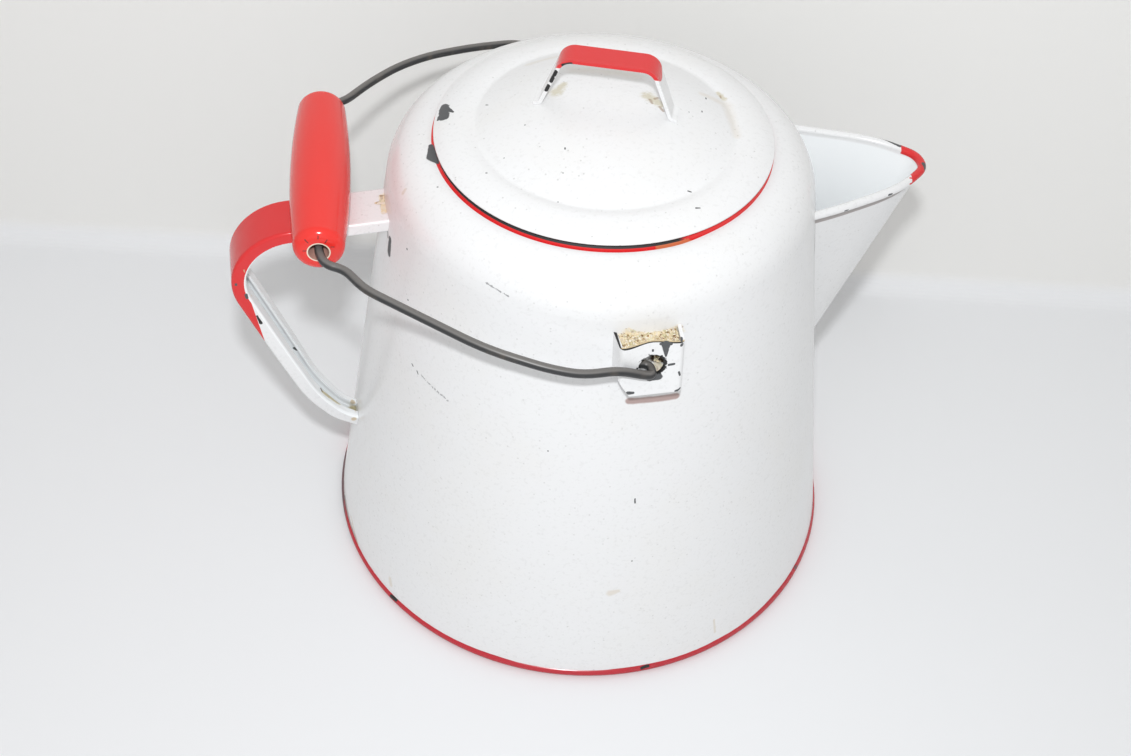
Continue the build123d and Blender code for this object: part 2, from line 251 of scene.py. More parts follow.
def make_stage():
    """Table and wall as one sheet, bent where they meet."""
    heading = Matrix.Rotation(-CAMERA_HEADING, 4, "Z")
    profile = [(-STAGE_REACH, 0.0)]
    for step in range(CORNER_STEPS + 1):
        turn = step * pi / 2 / CORNER_STEPS
        out = WALL_BEHIND - CORNER_RADIUS + CORNER_RADIUS * sin(turn)
        profile.append((out, CORNER_RADIUS - CORNER_RADIUS * cos(turn)))
    profile.append((WALL_BEHIND, WALL_HEIGHT))
    rows = [(out, height - FLOOR_DROP) for out, height in profile]
    corners = [(side * STAGE_REACH, out, height) for out, height in rows for side in (-1, 1)]
    faces = [(2 * row, 2 * row + 1, 2 * row + 3, 2 * row + 2) for row in range(len(profile) - 1)]
    mesh = bpy.data.meshes.new("stage")
    mesh.from_pydata([heading @ Vector(corner) for corner in corners], [], faces)
    stage = bpy.data.objects.new("stage", mesh)
    bpy.context.scene.collection.objects.link(stage)
    mesh.materials.append(stage_material())


def add_lamp(name, shape, size, power, colour, place):
    """An area lamp that is aimed at the pot."""
    data = bpy.data.lights.new(name, "AREA")
    data.shape = shape
    data.size, data.size_y = size
    data.energy = power
    data.color = colour
    lamp = bpy.data.objects.new(name, data)
    lamp.location = place
    lamp.rotation_euler = (LAMP_AIM - lamp.location).to_track_quat("-Z", "Y").to_euler()
    bpy.context.scene.collection.objects.link(lamp)


def make_lights():
    """A small lamp just above the camera, a broad one in front, and pale light all round."""
    above = camera_place @ Vector((0, LAMP_UP, 0))
    above = LAMP_AIM + LAMP_REACH * (above - LAMP_AIM)
    add_lamp("lamp", "DISK", (LAMP_SIZE, LAMP_SIZE), LAMP_POWER, LAMP_COLOUR, above)
    front = Matrix.Rotation(-CAMERA_HEADING, 4, "Z") @ Vector(FILL_PLACE)
    add_lamp("fill", "RECTANGLE", FILL_SIZE, FILL_POWER, FILL_COLOUR, front)
    world = bpy.data.worlds.new("world")
    bpy.context.scene.world = world
    world.use_nodes = True
    net = Nodes(world.node_tree)
    background = world.node_tree.nodes["Background"]
    background.inputs["Color"].default_value = opaque(WORLD_COLOUR)
    ray = net.add("LightPath").outputs
    seen = net.either(ray["Is Camera Ray"], ray["Is Glossy Ray"], ray["Is Transmission Ray"])
    net.feed(background.inputs["Strength"], net.shift(seen, WORLD_STRENGTH, WORLD_SEEN))


make_stage()
make_lights()

# Finishes

WHITE = (0.83, 0.835, 0.84)
WARM_WHITE = (0.79, 0.77, 0.72)
RED = (0.70, 0.024, 0.026)
FOOT_RED = (0.50, 0.020, 0.034)
WORN_RED = (0.62, 0.17, 0.07)
GRIP_RED = (0.80, 0.032, 0.024)
BARE_STEEL = (0.085, 0.088, 0.092)
BLACK = (0.012, 0.012, 0.012)
RUST = (0.28, 0.15, 0.06)
TAN = (0.58, 0.46, 0.28)
SAND = (0.78, 0.67, 0.46)
PALE_SAND = (0.80, 0.74, 0.62)
OLIVE_SAND = (0.62, 0.58, 0.36)
# Bluish white, made lighter as painted light for inner faces that get less light
PAINTED_LIGHT_INSIDE_WHITE = (0.95, 0.975, 0.985)
OLIVE = (0.50, 0.43, 0.22)
# Brown painted shade: the shadow under the right ear and the ears' undersides
SHADE = (0.33, 0.19, 0.165)
# Grey-brown painted shade, under the spout's rolled rim
RIM_SHADE_COLOUR = (0.30, 0.26, 0.25)
GRIME = (0.34, 0.33, 0.31)
GROUNDS = (0.06, 0.035, 0.015)
BARE_WOOD = (0.56, 0.31, 0.25)
CREAM = (0.85, 0.74, 0.60)
WIRE = (0.038, 0.039, 0.041)
WIRE_BROWN = (0.10, 0.085, 0.07)
# Light grey for the wire's painted highlight on top
WIRE_TOP_HIGHLIGHT = (0.20, 0.19, 0.18)

# Patterns: noise and cells per metre, and the levels between which each fades in

NOISE_MIDDLE = 0.5
PEPPER_CELLS = 520.0
PEPPER_CROWDS = 45.0
PEPPER_CROWDING = 0.5
PEPPER_KEPT = (1.10, 1.20)
PEPPER_DOT = (0.18, 0.10)
GLAZE_PATCHES = 22.0
GLAZE_PATCH_LEVELS = (0.42, 0.78)
GLAZE_DUST = 650.0
GLAZE_DUST_LEVELS = (0.52, 0.72)
GLAZE_DUST_STRENGTH = 0.10
RIPPLE_WAVES = 55.0
RIPPLE_PEBBLE = 700.0
CAKED_PALE = (0.45, 0.8)
CAKED_RUSTY = (0.72, 1.0)
CAKED_OLIVE = (0.82, 0.95)


def new_group(name, vectors, values, output, kind):
    """A shared effect: its nodes, what it is given, and where its result goes."""
    tree = bpy.data.node_groups.new(name, "ShaderNodeTree")
    for socket, titles in (("Vector", vectors), ("Float", values)):
        for title in titles:
            tree.interface.new_socket(title, in_out="INPUT", socket_type="NodeSocket" + socket)
    tree.interface.new_socket(output, in_out="OUTPUT", socket_type="NodeSocket" + kind)
    given = tree.nodes.new("NodeGroupInput").outputs
    result = tree.nodes.new("NodeGroupOutput").inputs[0]
    return Nodes(tree), given, result


def make_wear():
    """A marked place for wear, dirt and painted shade: a rounded line from Start to End, with a ragged
    edge.
    """
    vectors = ("Position", "Start", "End")
    values = ("Radius", "Taper", "Ragged", "Grain", "Soft")
    net, given, result = new_group("wear_and_shade", vectors, values, "Mask", "Float")
    run = net.vector("SUBTRACT", given["End"], given["Start"])
    off = net.vector("SUBTRACT", given["Position"], given["Start"])
    share = net.math("DIVIDE", net.vector("DOT_PRODUCT", off, run), net.vector("DOT_PRODUCT", run, run))
    share = net.math("MAXIMUM", net.math("MINIMUM", share, 1.0), 0.0)
    gap = net.vector("LENGTH", net.vector("SUBTRACT", off, net.vector("MULTIPLY", run, share)))
    radius = net.math("ADD", given["Radius"], net.math("MULTIPLY", share, given["Taper"]))
    grain = net.noise(given["Position"], given["Grain"], detail=4.0)
    grain = net.math("SUBTRACT", grain, NOISE_MIDDLE)
    ragged = net.math("MULTIPLY", net.math("MULTIPLY", grain, given["Ragged"]), radius)
    gap = net.math("ADD", gap, ragged)
    low = net.math("MULTIPLY", radius, net.math("SUBTRACT", 1.0, given["Soft"]))
    high = net.math("MULTIPLY", radius, net.math("ADD", 1.0, given["Soft"]))
    net.feed(result, net.math("SUBTRACT", 1.0, net.step(gap, low, high)))
    return net.tree


def make_pepper():
    """Fine dark specks in the glaze, closer together in some places."""
    net, given, result = new_group("pepper", ("Position",), ("Amount",), "Mask", "Float")
    cells = net.add("TexVoronoi", Vector=given["Position"], Scale=PEPPER_CELLS)
    chance = net.axes(cells.outputs["Color"])["X"]
    crowd = net.noise(given["Position"], PEPPER_CROWDS, detail=2.0)
    crowd = net.math("MULTIPLY", crowd, PEPPER_CROWDING)
    kept = net.step(net.math("ADD", chance, crowd), *PEPPER_KEPT)
    dot = net.under(cells.outputs["Distance"], *PEPPER_DOT)
    net.feed(result, net.math("MULTIPLY", net.both(dot, kept), given["Amount"]))
    return net.tree


def make_glaze():
    """White enamel, a little warmer and duller in broad patches."""
    net, given, result = new_group("glaze", ("Position",), ("Warmth",), "Colour", "Color")
    patch = net.noise(given["Position"], GLAZE_PATCHES, detail=4.0, rough=0.6)
    patch = net.step(patch, *GLAZE_PATCH_LEVELS)
    warm = net.math("MULTIPLY", patch, given["Warmth"])
    dust = net.step(net.noise(given["Position"], GLAZE_DUST), *GLAZE_DUST_LEVELS)
    dust = net.math("MULTIPLY", dust, GLAZE_DUST_STRENGTH)
    colour = net.blend(warm, WHITE, WARM_WHITE)
    net.feed(result, net.blend(dust, colour, GRIME))
    return net.tree


def make_ripple():
    """The height of a fired glaze, in millimetres: long waves and a fine pebble."""
    net, given, result = new_group("ripple", ("Position",), ("Waves", "Pebble"), "Height", "Float")
    waves = net.noise(given["Position"], RIPPLE_WAVES, detail=2.0)
    waves = net.math("MULTIPLY", waves, given["Waves"])
    pebble = net.noise(given["Position"], RIPPLE_PEBBLE, detail=2.0)
    pebble = net.math("MULTIPLY", pebble, given["Pebble"])
    net.feed(result, net.math("ADD", waves, pebble))
    return net.tree


def make_caked():
    """Caked grounds: sandy crumbs with darker and rusty ones among them."""
    net, given, result = new_group("caked", ("Position",), ("Scale",), "Colour", "Color")
    cells = net.add("TexVoronoi", Vector=given["Position"], Scale=given["Scale"])
    chance = net.axes(cells.outputs["Color"])
    colour = net.blend(net.step(chance["X"], *CAKED_PALE), SAND, PALE_SAND)
    colour = net.blend(net.step(chance["Y"], *CAKED_RUSTY), colour, RUST)
    colour = net.blend(net.step(chance["Z"], *CAKED_OLIVE), colour, OLIVE_SAND)
    net.feed(result, colour)
    return net.tree


wear_and_shade = make_wear()
pepper = make_pepper()
glaze = make_glaze()
ripple = make_ripple()
caked = make_caked()


class Finish:
    """A piece's material: a ground colour, with paint, worn places, dirt and painted shade laid over it
    in turn.
    """

    def __init__(self, name, node, colour, roughness, waves=0.03, lumps=0.0012):
        self.node = node
        self.material = bpy.data.materials.new(name)
        self.material.use_nodes = True
        self.net = Nodes(self.material.node_tree)
        self.shader = self.material.node_tree.nodes["Principled BSDF"]
        coordinates = self.net.add("TexCoord").outputs
        self.place = coordinates["Object"]
        self.facing = coordinates["Normal"]
        self.colour = colour
        self.roughness = roughness
        self.height = self.net.group(ripple, Position=self.place, Waves=waves, Pebble=lumps)

    def lay(self, mask, colour, roughness=None, sunk=0.0):
        """Another colour over a mask, sunk into the surface by some millimetres."""
        self.colour = self.net.blend(mask, self.colour, colour)
        if roughness is not None:
            self.roughness = self.net.shift(mask, self.roughness, roughness)
        if sunk:
            self.height = self.net.math("SUBTRACT", self.height, self.net.math("MULTIPLY", mask, sunk))

    def marks(self, places, ragged, grain, soft=0.12, strength=1.0):
        """One mask for places given as photograph pixels and millimetres: wear, dirt and painted shade.
        """
        masks = []
        for x_start, y_start, x_end, y_end, radius, end_radius in places:
            start = spot((x_start, y_start), self.node)
            end = spot((x_end, y_end), self.node)
            mask = self.net.group(
                wear_and_shade,
                Position=self.place,
                Start=start,
                End=end,
                Radius=radius * MM,
                Taper=(end_radius - radius) * MM,
                Ragged=ragged,
                Grain=grain,
                Soft=soft,
            )
            masks.append(mask)
        whole = self.net.either(*masks)
        return whole if strength == 1.0 else self.net.math("MULTIPLY", whole, strength)

    def mark(self, places, colour, roughness=None, sunk=0.0, **edge):
        """One colour over listed places: wear, dirt and painted shade."""
        self.lay(self.marks(places, **edge), colour, roughness, sunk)

    def done(self, metallic=0.0):
        """The shader, fed with everything that was laid on."""
        self.net.feed(self.shader.inputs["Base Color"], opaque(self.colour))
        self.net.feed(self.shader.inputs["Roughness"], self.roughness)
        self.shader.inputs["Metallic"].default_value = metallic
        bump = self.net.add("Bump", Strength=1.0, Distance=MM, Height=self.height)
        self.net.feed(self.shader.inputs["Normal"], bump.outputs[0])
        return self.material


def enamel(name, node, warmth=0.25, specks=0.3, roughness=0.22):
    """White enamel to start a piece with."""
    finish = Finish(name, node, None, roughness)
    finish.colour = finish.net.group(glaze, Position=finish.place, Warmth=warmth)
    finish.lay(finish.net.group(pepper, Position=finish.place, Amount=specks), GRIME)
    return finish


# Worn places and painted shadows: photograph pixels of the start and end, then the radius at each in
# millimetres

BODY_CHIPS = [
    (431, 146, 432, 157, 1.0, 2.2),
    (433, 158, 438, 162, 2.0, 1.0),
    (390, 240, 389, 252, 1.6, 2.0),
    (387, 214, 388, 237, 0.45, 0.6),
    (407, 249, 407, 249, 0.45, 0.45),
]
BODY_SPECKS = [
    (408, 300, 408, 300, 0.4, 0.4),
    (412, 364, 413, 366, 0.32, 0.32),
    (417, 371, 418, 374, 0.28, 0.28),
    (437, 187, 438, 187, 0.24, 0.24),
    (635, 499, 635, 503, 0.32, 0.32),
    (548, 451, 548, 451, 0.36, 0.36),
    (632, 561, 632, 561, 0.32, 0.32),
]
BODY_SMUDGES = [
    (390, 579, 391, 585, 1.2, 1.0),
    (610, 593, 618, 591, 1.4, 0.9),
    (714, 620, 715, 632, 0.5, 0.6),
    (405, 190, 403, 193, 0.8, 0.8),
]
BEHIND_EAR = [
    (628, 333, 645, 337, 2.0, 1.6),
    (655, 338, 678, 330, 1.4, 2.2),
    (657, 366, 660, 372, 2.4, 2.0),
]
IN_HOLE = [(654, 358, 668, 360, 1.8, 1.8)]
# Brown painted shadow that the right ear casts on the wall below it
UNDER_EAR_SHADOW = [(629, 401, 676, 396, 1.5, 1.5)]
FOOT_JOINT = [(355, 404, 355, 421, 0.7, 0.8)]
FOOT_LINE = [(351, 516, 358, 544, 0.4, 0.5)]
BODY_SCRATCHES = [(422, 376, 447, 400, 0.3, 0.3), (486, 283, 508, 296, 0.25, 0.25)]
MOUTH_WORN = [(660, 246, 690, 242, 1.6, 1.2)]
# Ends of the black painted shadow under the lid's front rim
GAP_SHADOW_START = (434, 167)
GAP_SHADOW_END = (684, 243)

LID_CHIPS = [
    (444, 107, 444, 117, 2.0, 2.2),
    (446, 109, 453, 112, 1.6, 0.4),
    (440, 117, 438, 120, 1.2, 0.6),
]
LID_SPECKS = [
    (486, 105, 488, 105, 0.3, 0.22),
    (525, 125, 525, 125, 0.26, 0.26),
    (565, 148, 565, 149, 0.3, 0.3),
    (504, 158, 504, 158, 0.26, 0.26),
    (486, 173, 487, 173, 0.26, 0.26),
    (563, 173, 563, 173, 0.26, 0.26),
    (558, 202, 558, 202, 0.26, 0.26),
    (688, 191, 691, 192, 0.26, 0.26),
    (696, 208, 700, 208, 0.34, 0.22),
    (706, 98, 706, 99, 0.3, 0.3),
    (689, 112, 689, 112, 0.26, 0.26),
    (702, 111, 702, 112, 0.26, 0.26),
]
LID_STAINS = [
    (556, 92, 564, 84, 2.4, 1.2),
    (648, 96, 660, 104, 2.4, 2.0),
    (718, 93, 724, 99, 0.8, 1.0),
]
LID_DARK_STAINS = [
    (650, 100, 652, 103, 0.7, 0.5),
    (655, 99, 658, 98, 0.6, 0.5),
    (660, 107, 663, 111, 0.6, 0.5),
    (720, 96, 721, 98, 0.4, 0.3),
]
# Soft tan stains; the last one, along under the handle's bar, is the handle's painted shadow
LID_STAINS_AND_HANDLE_SHADOW = [
    (726, 106, 737, 136, 2.2, 1.4),
    (702, 94, 724, 104, 1.2, 2.0),
    (530, 64, 560, 56, 1.6, 1.2),
    (575, 70, 636, 76, 3.0, 3.0),
]

LID_HANDLE_CHIPS = [
    (555, 72, 554, 75, 1.0, 0.9),
    (552, 78, 551, 81, 1.1, 0.8),
    (548, 86, 546, 90, 0.9, 0.8),
    (563, 65, 571, 64, 0.7, 0.6),
]

HANDLE_SPECKS = [
    (236, 284, 236, 285, 0.5, 0.5),
    (246, 295, 247, 298, 0.7, 0.6),
    (294, 348, 297, 350, 0.6, 0.5),
    (321, 389, 322, 391, 0.6, 0.5),
]
HANDLE_DIRT = [
    (322, 391, 336, 401, 0.8, 1.3),
    (336, 401, 354, 409, 1.3, 1.6),
]
HANDLE_NOTCH = [(384, 196, 384, 212, 1.9, 1.2), (383, 203, 376, 203, 1.8, 0.6)]
HANDLE_FOOT = [(353, 402, 354, 419, 1.2, 1.3)]
HANDLE_EDGE_LINE = [(244, 270, 252, 296, 0.25, 0.3)]
HANDLE_EDGE_CHIP = [(257, 316, 261, 323, 0.4, 0.7)]

PAN_CHIPS = [
    (391, 596, 396, 600, 0.9, 0.9),
    (642, 668, 648, 666, 0.8, 0.8),
    (352, 528, 355, 536, 0.7, 0.7),
]
# FOOT_DARK and the first two of PAN_DARK darken the foot at its upper left, on the bead and the wall
# just above it
FOOT_DARK = [(345, 500, 356, 540, 3.0, 1.6)]
PAN_DARK = [
    (344, 455, 345, 500, 3.2, 3.0),
    *FOOT_DARK,
    (795, 568, 798, 558, 0.7, 0.6),
]

# Bare steel at the far rim's edge and at the tip; the last two marks are painted shade along the rim's
# lower edge
SPOUT_CHIPS_AND_SHADE = [
    (881, 138, 900, 146, 0.5, 0.6),
    (924, 164, 925, 169, 1.1, 0.8),
    (845, 211, 848, 210, 0.4, 0.3),
    (889, 195, 892, 194, 0.5, 0.4),
]
SPOUT_SPUR = [(910, 178, 916, 180, 0.35, 0.9), (910, 184, 916, 182, 0.35, 0.9)]
NOSE_ENDS = ((901, 147), (912, 183))

EAR_CHIPS = [
    (666, 345, 666, 356, 1.7, 0.4),
    (661, 344, 671, 344, 0.6, 0.6),
    (650, 378, 659, 377, 1.5, 1.4),
    (681, 338, 682, 345, 0.6, 0.7),
    (669, 365, 674, 364, 0.5, 0.5),
    (653, 350, 653, 351, 0.4, 0.4),
    (628, 393, 633, 393, 0.8, 0.6),
    (679, 372, 680, 375, 0.4, 0.4),
    (676, 391, 680, 388, 0.6, 0.4),
]

GRIP_CRACKS = [
    (305, 240, 308, 243, 0.25, 0.2),
    (318, 236, 318, 239, 0.2, 0.2),
    (327, 240, 325, 243, 0.2, 0.2),
    (331, 247, 334, 247, 0.2, 0.2),
    (303, 251, 306, 251, 0.2, 0.2),
    (320, 262, 323, 267, 0.3, 0.4),
]


# Where each piece's paint lies, in the model's frame. A FACING pair says how far a face has to
# look outwards or up for the paint, and how softly the paint ends there.

# The mouth's red is narrower by MOUTH_NARROW towards the spout. The gap shadow is a black painted
# shadow on the mouth under the lid's front rim, and the creep is how unevenly the foot's red climbs the
# wall.
MOUTH_RADIUS = 65.08 * MM
MOUTH_HEIGHT = 205.99 * MM
MOUTH_RED = 2.4 * MM
MOUTH_EDGE = 0.08 * MM
MOUTH_NARROW = 0.7 * MM
MOUTH_NARROW_START = 12 * MM
MOUTH_NARROW_END = 30 * MM
GAP_SHADOW_BOTTOM = 206.65 * MM
GAP_SHADOW_EDGE = 0.1 * MM
GAP_SHADOW_FADE = 0.02
CREEP_SCALE = 14.0
CREEP_LEVELS = (0.4, 0.65)
CREEP_RISE = 1.3 * MM
CREEP_HEIGHT = 3.5 * MM
CREEP_EDGE = 0.12 * MM
WALL_CRUMBS = 1100.0


def body_material():
    """White outside and in, with red on the rolled mouth and along the foot, a black painted shadow on
    the mouth under the lid's front rim, and a brown painted shadow under the right ear.
    """
    finish = enamel("body enamel", "body_shell", warmth=0.22)
    net = finish.net
    height = net.axes(finish.place)["Z"]
    finish.mark(BODY_SMUDGES, TAN, ragged=1.2, grain=400.0, soft=0.6, strength=0.35)
    finish.mark(BODY_SPECKS, BARE_STEEL, roughness=0.5, ragged=0.8, grain=900.0)
    scratches = finish.marks(BODY_SCRATCHES, ragged=9.0, grain=1000.0, soft=0.4, strength=0.65)
    finish.lay(scratches, BARE_STEEL, roughness=0.5)
    ring = net.add("CombineXYZ", X=net.math("SUBTRACT", net.across(finish.place), MOUTH_RADIUS))
    net.feed(ring.inputs["Z"], net.math("SUBTRACT", height, MOUTH_HEIGHT))
    right = net.step(net.axes(finish.place)["X"], MOUTH_NARROW_START, MOUTH_NARROW_END)
    right = net.math("MULTIPLY", right, MOUTH_NARROW)
    from_ring = net.math("ADD", net.vector("LENGTH", ring.outputs[0]), right)
    mouth = net.under(from_ring, MOUTH_RED, MOUTH_EDGE)
    finish.lay(mouth, RED)
    worn = finish.marks(MOUTH_WORN, ragged=1.6, grain=600.0, soft=0.3)
    finish.lay(net.both(mouth, worn), WORN_RED, roughness=0.4)
    start, end = (spot(pixel, "body_shell") for pixel in (GAP_SHADOW_START, GAP_SHADOW_END))
    middle = (start.xy.normalized() + end.xy.normalized()).normalized()
    side = net.vector("NORMALIZE", net.vector("MULTIPLY", finish.place, (1, 1, 0)))
    side = net.vector("DOT_PRODUCT", side, (middle.x, middle.y, 0))
    sector = net.over(side, middle.dot(start.xy.normalized()), GAP_SHADOW_FADE)
    # Black painted shadow on the mouth bead, under the lid's front rim
    gap = net.both(mouth, sector, net.over(height, GAP_SHADOW_BOTTOM, GAP_SHADOW_EDGE))
    finish.lay(gap, BLACK, roughness=0.6)
    creep = net.step(net.noise(finish.place, CREEP_SCALE, detail=2.0), *CREEP_LEVELS)
    creep = net.math("ADD", net.math("MULTIPLY", creep, CREEP_RISE), CREEP_HEIGHT)
    finish.lay(net.under(net.math("SUBTRACT", height, creep), 0.0, CREEP_EDGE), FOOT_RED)
    finish.mark(FOOT_DARK, GRIME, roughness=0.5, ragged=0.6, grain=300.0, soft=0.3, strength=0.85)
    finish.mark(FOOT_LINE, TAN, ragged=0.8, grain=400.0, soft=0.4, strength=0.8)
    # Brown painted shadow under the right ear
    finish.mark(UNDER_EAR_SHADOW, SHADE, ragged=0.3, grain=300.0, soft=0.3, strength=0.8)
    finish.mark(FOOT_JOINT, RUST, roughness=0.7, ragged=1.2, grain=500.0, soft=0.4, strength=0.8)
    finish.mark(BODY_CHIPS, BARE_STEEL, roughness=0.5, sunk=0.12, ragged=0.7, grain=450.0)
    crumbs = net.group(caked, Position=finish.place, Scale=WALL_CRUMBS)
    finish.mark(IN_HOLE, GROUNDS, roughness=0.8, ragged=1.0, grain=500.0, soft=0.4)
    finish.mark(BEHIND_EAR, crumbs, roughness=0.8, ragged=2.0, grain=500.0, soft=0.3, strength=0.75)
    return finish.done()


PAN_RED_START = 109.5 * MM
PAN_RED_EDGE = 0.3 * MM


def pan_material():
    """Red rolled foot, white underneath."""
    finish = enamel("foot enamel", "bottom_pan", warmth=0.5, specks=1.0)
    net = finish.net
    finish.lay(net.over(net.across(finish.place), PAN_RED_START, PAN_RED_EDGE), FOOT_RED)
    finish.mark(PAN_DARK, BARE_STEEL, roughness=0.5, ragged=0.6, grain=300.0, soft=0.3, strength=0.85)
    finish.mark(PAN_CHIPS, BLACK, roughness=0.5, ragged=0.8, grain=500.0)
    return finish.done()


# The lip falls by LIP_FALL for each metre past LIP_START. SPOUT_MIDDLE is the line that the
# spout's wall goes round, further out by SPOUT_LEAN for each metre of height.
LIP_HEIGHT = 181 * MM
LIP_START = 86.9 * MM
LIP_FALL = 0.0294
SPOUT_MIDDLE = 83 * MM
SPOUT_LEAN = 0.16
# A band of painted shade under the rolled rim: its heights above the lip, and the faces it takes
RIM_SHADE_BOTTOM = -5.2 * MM
RIM_SHADE_TOP = -2.5 * MM
RIM_SHADE_EDGE = 0.2 * MM
RIM_SHADE_FACING = (0.2, 0.1)
RIM_SHADE_STRENGTH = 0.85
# Where the spout's inside is painted lighter, as painted light
SPOUT_INSIDE_TOP = -1.5 * MM
SPOUT_INSIDE_EDGE = 0.5 * MM
SPOUT_INSIDE_FACING = (0.0, 0.05)
NOSE_RED_BOTTOM = -2.4 * MM
NOSE_RED_EDGE = 0.15 * MM
NOSE_TOP = -1.0 * MM
NOSE_TOP_EDGE = 0.1 * MM
NOSE_FACING = (-0.1, 0.1)


def spout_material():
    """White, with a red band round the nose, grey-brown painted shade under the rolled rim, and the
    inside painted lighter as painted light.
    """
    finish = enamel("spout enamel", "spout", warmth=0.1)
    net = finish.net
    axes = net.axes(finish.place)
    fall = net.math("MULTIPLY", net.math("SUBTRACT", axes["X"], LIP_START), LIP_FALL)
    above_lip = net.math("ADD", net.math("SUBTRACT", axes["Z"], LIP_HEIGHT), fall)
    far, near = (spot(pixel, "spout") for pixel in NOSE_ENDS)
    slant = (far.x - near.x) / (far.y - near.y)
    limit = net.math("MULTIPLY", net.math("SUBTRACT", axes["Y"], near.y), slant)
    limit = net.math("ADD", limit, near.x)
    middle = net.math("MULTIPLY_ADD", axes["Z"], SPOUT_LEAN, SPOUT_MIDDLE)
    middle = net.add("CombineXYZ", X=middle).outputs[0]
    out = net.vector("MULTIPLY", net.vector("SUBTRACT", finish.place, middle), (1, 1, 0))
    outward = net.vector("DOT_PRODUCT", net.vector("NORMALIZE", out), finish.facing)
    # Painted shade: a grey-brown band on the outer wall just under the rolled rim
    line = net.both(
        net.over(above_lip, RIM_SHADE_BOTTOM, RIM_SHADE_EDGE),
        net.under(above_lip, RIM_SHADE_TOP, RIM_SHADE_EDGE),
    )
    line = net.both(line, net.over(outward, *RIM_SHADE_FACING))
    # Painted light: the spout's inside is made a lighter bluish white
    inside = net.both(
        net.under(outward, *SPOUT_INSIDE_FACING),
        net.under(above_lip, SPOUT_INSIDE_TOP, SPOUT_INSIDE_EDGE),
    )
    finish.lay(inside, PAINTED_LIGHT_INSIDE_WHITE)
    finish.lay(net.math("MULTIPLY", line, RIM_SHADE_STRENGTH), RIM_SHADE_COLOUR, roughness=0.5)
    nose = net.both(
        net.over(net.math("SUBTRACT", axes["X"], limit), 0.0, NOSE_RED_EDGE),
        net.over(above_lip, NOSE_RED_BOTTOM, NOSE_RED_EDGE),
        net.either(net.over(outward, *NOSE_FACING), net.over(above_lip, NOSE_TOP, NOSE_TOP_EDGE)),
    )
    finish.lay(net.either(nose, finish.marks(SPOUT_SPUR, ragged=0.8, grain=500.0)), RED)
    # Bare steel chips, and two marks of painted shade under the rim
    finish.mark(SPOUT_CHIPS_AND_SHADE, BARE_STEEL, roughness=0.5, ragged=0.8, grain=600.0)
    return finish.done()


EAR_HOLE_HEIGHT = 175.4 * MM
EAR_HOLE_BLACK = 5.3 * MM
EAR_HOLE_EDGE = 0.25 * MM
EAR_HOLE_NOISE = 600.0
EAR_HOLE_RAGGED = 5 * MM
EAR_TOP = 182 * MM
EAR_TOP_EDGE = 0.3 * MM
EAR_FRONT = 93.4 * MM
EAR_OUTER = 94.45 * MM
EAR_OUTER_EDGE = 0.1 * MM
EAR_OUTER_NOISE = 300.0
EAR_OUTER_RAGGED = 0.6 * MM
EAR_END = -11.4 * MM
EAR_END_EDGE = 0.2 * MM
EAR_SHADE_STRENGTH = 0.6
EAR_TOP_FACING = (0.6, 0.1)
EAR_SHADE_FACING = (-0.5, 0.2)


def ear_material(node):
    """White, with a black top edge, a ragged hole, brown painted shade on the underside and, on the
    right one, chips.
    """
    finish = enamel(node.replace("_", " ") + " enamel", node, warmth=0.15)
    net = finish.net
    axes = net.axes(finish.place)
    hole = net.add("CombineXYZ", X=axes["X"])
    net.feed(hole.inputs["Z"], net.math("SUBTRACT", axes["Z"], EAR_HOLE_HEIGHT))
    rough = net.noise(finish.place, EAR_HOLE_NOISE, detail=4.0)
    rough = net.math("MULTIPLY", net.math("SUBTRACT", rough, NOISE_MIDDLE), EAR_HOLE_RAGGED)
    round_hole = net.math("ADD", net.vector("LENGTH", hole.outputs[0]), rough)
    finish.lay(net.under(round_hole, EAR_HOLE_BLACK, EAR_HOLE_EDGE), BLACK, roughness=0.6)
    up = net.axes(finish.facing)["Z"]
    top = net.both(net.over(up, *EAR_TOP_FACING), net.over(axes["Z"], EAR_TOP, EAR_TOP_EDGE))
    out = net.math("ABSOLUTE", axes["Y"])
    front = net.over(out, EAR_FRONT, EAR_OUTER_EDGE)
    finish.lay(net.both(top, front), TAN, roughness=0.6)
    edge = net.math("MULTIPLY", net.noise(finish.place, EAR_OUTER_NOISE), EAR_OUTER_RAGGED)
    edge = net.math("ADD", out, edge)
    outer = net.either(
        net.over(edge, EAR_OUTER, EAR_OUTER_EDGE),
        net.under(axes["X"], EAR_END, EAR_END_EDGE),
    )
    finish.lay(net.both(top, outer), BLACK, roughness=0.6)
    # Painted shade: faces that look down are darkened brown
    under = net.under(up, *EAR_SHADE_FACING)
    finish.lay(net.math("MULTIPLY", under, EAR_SHADE_STRENGTH), SHADE)
    if node == "right_ear":
        finish.mark(EAR_CHIPS, BARE_STEEL, roughness=0.5, sunk=0.1, ragged=0.9, grain=650.0)
    return finish.done()


# The strap goes round HANDLE_MIDDLE. Its straight back leans: it lies at HANDLE_BACK where it
# is HANDLE_BACK_HEIGHT high. The red ends in a point: at RED_BOTTOM on the back, and higher on
# the flanges, the deeper they go.
HANDLE_MIDDLE = (-0.112, 0, 0.150)
HANDLE_BACK = -125.3 * MM
HANDLE_BACK_HEIGHT = 82.8 * MM
HANDLE_LEAN = 0.36
FLANGE_DEPTH = 5.8 * MM
RED_POINT_SLOPE = 4.6
RED_BOTTOM = 123.5 * MM
RED_BOTTOM_EDGE = 0.3 * MM
RED_FRONT = -103 * MM
RED_FRONT_EDGE = 0.2 * MM
RED_FACING = (0.0005, 0.0005)
INSIDE_FACING = (-0.002, 0.001)
NOTCH_CRUMBS = 700.0


